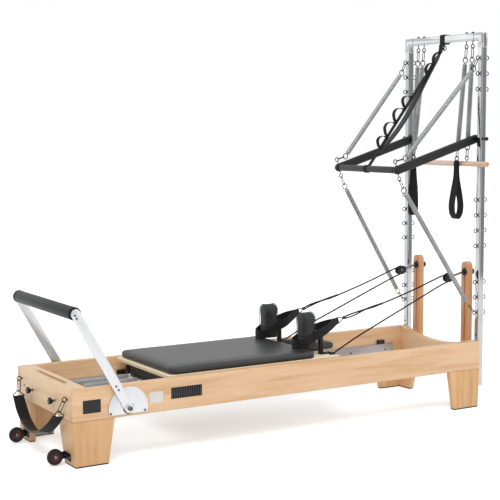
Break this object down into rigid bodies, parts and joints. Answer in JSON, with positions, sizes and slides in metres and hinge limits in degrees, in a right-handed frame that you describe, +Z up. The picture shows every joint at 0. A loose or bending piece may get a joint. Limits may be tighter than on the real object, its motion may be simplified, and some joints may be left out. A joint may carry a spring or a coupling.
{
  "type": "pilates reformer with tower",
  "caption": "Wooden pilates reformer with a sliding padded carriage, footbar, ropes and pulleys, and a tower with a push-through bar, springs and straps.",
  "frame": {"origin": "on the floor under the middle of the whole object, halfway along the wooden frame and midway between its side rails", "axes": "+X from the footbar end to the tower end, +Y from the near side to the far side, +Z up"},
  "size_m": [2.5482, 0.7786, 2.0435],
  "materials": {
    "maple": "satin clear lacquer",
    "beech": "satin clear lacquer",
    "peeled_dowel": "bare sanded wood",
    "birch_ply": "bare plywood",
    "black_steel": "satin black powder coat",
    "black_plastic": "moulded black",
    "black_rubber": "matte black",
    "aluminium": "brushed and anodised",
    "chrome": "polished",
    "nickel_wire": "bright nickel plate",
    "charcoal_vinyl": "grained charcoal vinyl",
    "black_webbing": "woven black webbing"
  },
  "bodies": {
    "frame": {"side_rail_near": "maple", "side_rail_far": "maple", "foot_end_board": "maple", "tower_end_board": "maple", "leg_foot_near": "maple", "leg_foot_far": "maple", "leg_tower_near": "maple", "leg_tower_far": "maple", "track_near": "aluminium", "track_far": "aluminium", "spring_bar": "black_steel", "carriage_springs": "nickel_wire", "name_plate": "black_plastic", "footbar_plate_near": "aluminium", "footbar_plate_far": "aluminium", "foot_strap": "black_webbing", "wheel_bracket_near": "black_steel", "wheel_bracket_far": "black_steel", "tower_post_near": "chrome", "tower_post_far": "chrome", "tower_crossbar": "chrome", "riser_near": "beech", "riser_far": "beech", "push_spring_upper_near": "nickel_wire", "push_spring_upper_far": "nickel_wire", "push_spring_lower_near": "nickel_wire", "push_spring_lower_far": "nickel_wire", "safety_strap": "black_webbing", "rope_near": "black_webbing", "rope_far": "black_webbing"},
    "carriage": {"carriage_board": "birch_ply", "carriage_pad": "charcoal_vinyl", "carriage_frame": "black_steel", "shoulder_rest_near": "charcoal_vinyl", "shoulder_rest_far": "charcoal_vinyl", "foot_loop_near": "black_webbing", "foot_loop_far": "black_webbing"},
    "wheels_foot": {"wheel_set_foot": "black_rubber"},
    "wheels_tower": {"wheel_set_tower": "black_rubber"},
    "headrest": {"headrest": "charcoal_vinyl"},
    "footbar": {"footbar_frame": "aluminium", "footbar_grip": "charcoal_vinyl"},
    "push_bar": {"push_bar": "black_steel"},
    "lock_knob_near": {"lock_knob_near": "black_plastic"},
    "lock_knob_far": {"lock_knob_far": "black_plastic"},
    "transport_wheel_near": {"transport_wheel_near": "black_rubber"},
    "transport_wheel_far": {"transport_wheel_far": "black_rubber"},
    "star_knob_near": {"star_knob_near": "black_plastic"},
    "star_knob_far": {"star_knob_far": "black_plastic"},
    "pulley_near": {"pulley_carrier_near": "black_steel"},
    "pulley_far": {"pulley_carrier_far": "black_steel"},
    "sheave_near": {"pulley_sheave_near": "black_plastic"},
    "sheave_far": {"pulley_sheave_far": "black_plastic"},
    "roll_down": {"roll_down_bar": "peeled_dowel", "roll_down_spring_near": "nickel_wire", "roll_down_spring_far": "nickel_wire"},
    "hand_loop_near": {"hand_loop_near": "black_webbing", "hand_loop_spring_near": "nickel_wire"},
    "hand_loop_far": {"hand_loop_far": "black_webbing", "hand_loop_spring_far": "nickel_wire"}
  },
  "joints": [
    {"name": "carriage_slide", "type": "slide", "parent": "frame", "child": "carriage", "axis": [1, 0, 0], "range_m": [0, 0.735], "deforming": ["carriage_springs", "rope_near", "rope_far"]},
    {"name": "wheels_foot_roll", "type": "hinge", "parent": "carriage", "child": "wheels_foot", "pos_m": [-0.6, 0, 0.2986], "axis": [0, 1, 0], "range_deg": [-5, 1565]},
    {"name": "wheels_tower_roll", "type": "hinge", "parent": "carriage", "child": "wheels_tower", "pos_m": [0.22, 0, 0.2986], "axis": [0, 1, 0], "range_deg": [-5, 1565]},
    {"name": "headrest_tilt", "type": "hinge", "parent": "carriage", "child": "headrest", "pos_m": [0.193, 0, 0.3638], "axis": [0, -1, 0], "range_deg": [0, 35]},
    {"name": "footbar_tilt", "type": "hinge", "parent": "frame", "child": "footbar", "pos_m": [-0.925, 0, 0.251], "axis": [0, 1, 0], "range_deg": [-50, 55]},
    {"name": "push_bar_lift", "type": "hinge", "parent": "frame", "child": "push_bar", "pos_m": [1.2183, 0, 1.466], "axis": [0, 1, 0], "range_deg": [0, 75], "deforming": ["push_spring_upper_near", "push_spring_upper_far", "push_spring_lower_near", "push_spring_lower_far", "safety_strap"]},
    {"name": "lock_knob_near_pull", "type": "slide", "parent": "frame", "child": "lock_knob_near", "axis": [0, -1, 0], "range_m": [0, 0.014], "stiffness_N_per_m": 500},
    {"name": "lock_knob_far_pull", "type": "slide", "parent": "frame", "child": "lock_knob_far", "axis": [0, 1, 0], "range_m": [0, 0.014], "stiffness_N_per_m": 500},
    {"name": "transport_wheel_near_roll", "type": "hinge", "parent": "frame", "child": "transport_wheel_near", "pos_m": [-1.249, -0.245, 0.041], "axis": [0, 1, 0], "continuous": true},
    {"name": "transport_wheel_far_roll", "type": "hinge", "parent": "frame", "child": "transport_wheel_far", "pos_m": [-1.249, 0.245, 0.041], "axis": [0, 1, 0], "continuous": true},
    {"name": "star_knob_near_turn", "type": "hinge", "parent": "frame", "child": "star_knob_near", "pos_m": [-1.2183, -0.138, 0.278], "axis": [1, 0, 0], "continuous": true},
    {"name": "star_knob_far_turn", "type": "hinge", "parent": "frame", "child": "star_knob_far", "pos_m": [-1.2183, 0.138, 0.278], "axis": [1, 0, 0], "continuous": true},
    {"name": "pulley_near_height", "type": "slide", "parent": "frame", "child": "pulley_near", "axis": [0, 0, 1], "range_m": [-0.3, 0.015], "deforming": ["rope_near"]},
    {"name": "sheave_near_spin", "type": "hinge", "parent": "pulley_near", "child": "sheave_near", "pos_m": [1.086, -0.212, 0.709], "axis": [0, 1, 0], "continuous": true},
    {"name": "pulley_far_height", "type": "slide", "parent": "frame", "child": "pulley_far", "axis": [0, 0, 1], "range_m": [-0.3, 0.015], "deforming": ["rope_far"]},
    {"name": "sheave_far_spin", "type": "hinge", "parent": "pulley_far", "child": "sheave_far", "pos_m": [1.086, 0.212, 0.709], "axis": [0, 1, 0], "continuous": true},
    {"name": "roll_down_swing", "type": "hinge", "parent": "frame", "child": "roll_down", "pos_m": [1.2183, 0, 1.966], "axis": [0, 1, 0], "range_deg": [0, 12]},
    {"name": "hand_loop_near_swing", "type": "hinge", "parent": "roll_down", "child": "hand_loop_near", "pos_m": [1.2183, -0.183, 1.966], "axis": [0, 1, 0], "range_deg": [0, 12]},
    {"name": "hand_loop_far_swing", "type": "hinge", "parent": "roll_down", "child": "hand_loop_far", "pos_m": [1.2183, 0.183, 1.966], "axis": [0, 1, 0], "range_deg": [0, 12]}
  ],
  "couplings": [
    {"joint": "wheels_foot_roll", "follows": "carriage_slide", "rad_per_m": 37.037},
    {"joint": "wheels_tower_roll", "follows": "carriage_slide", "rad_per_m": 37.037}
  ]
}
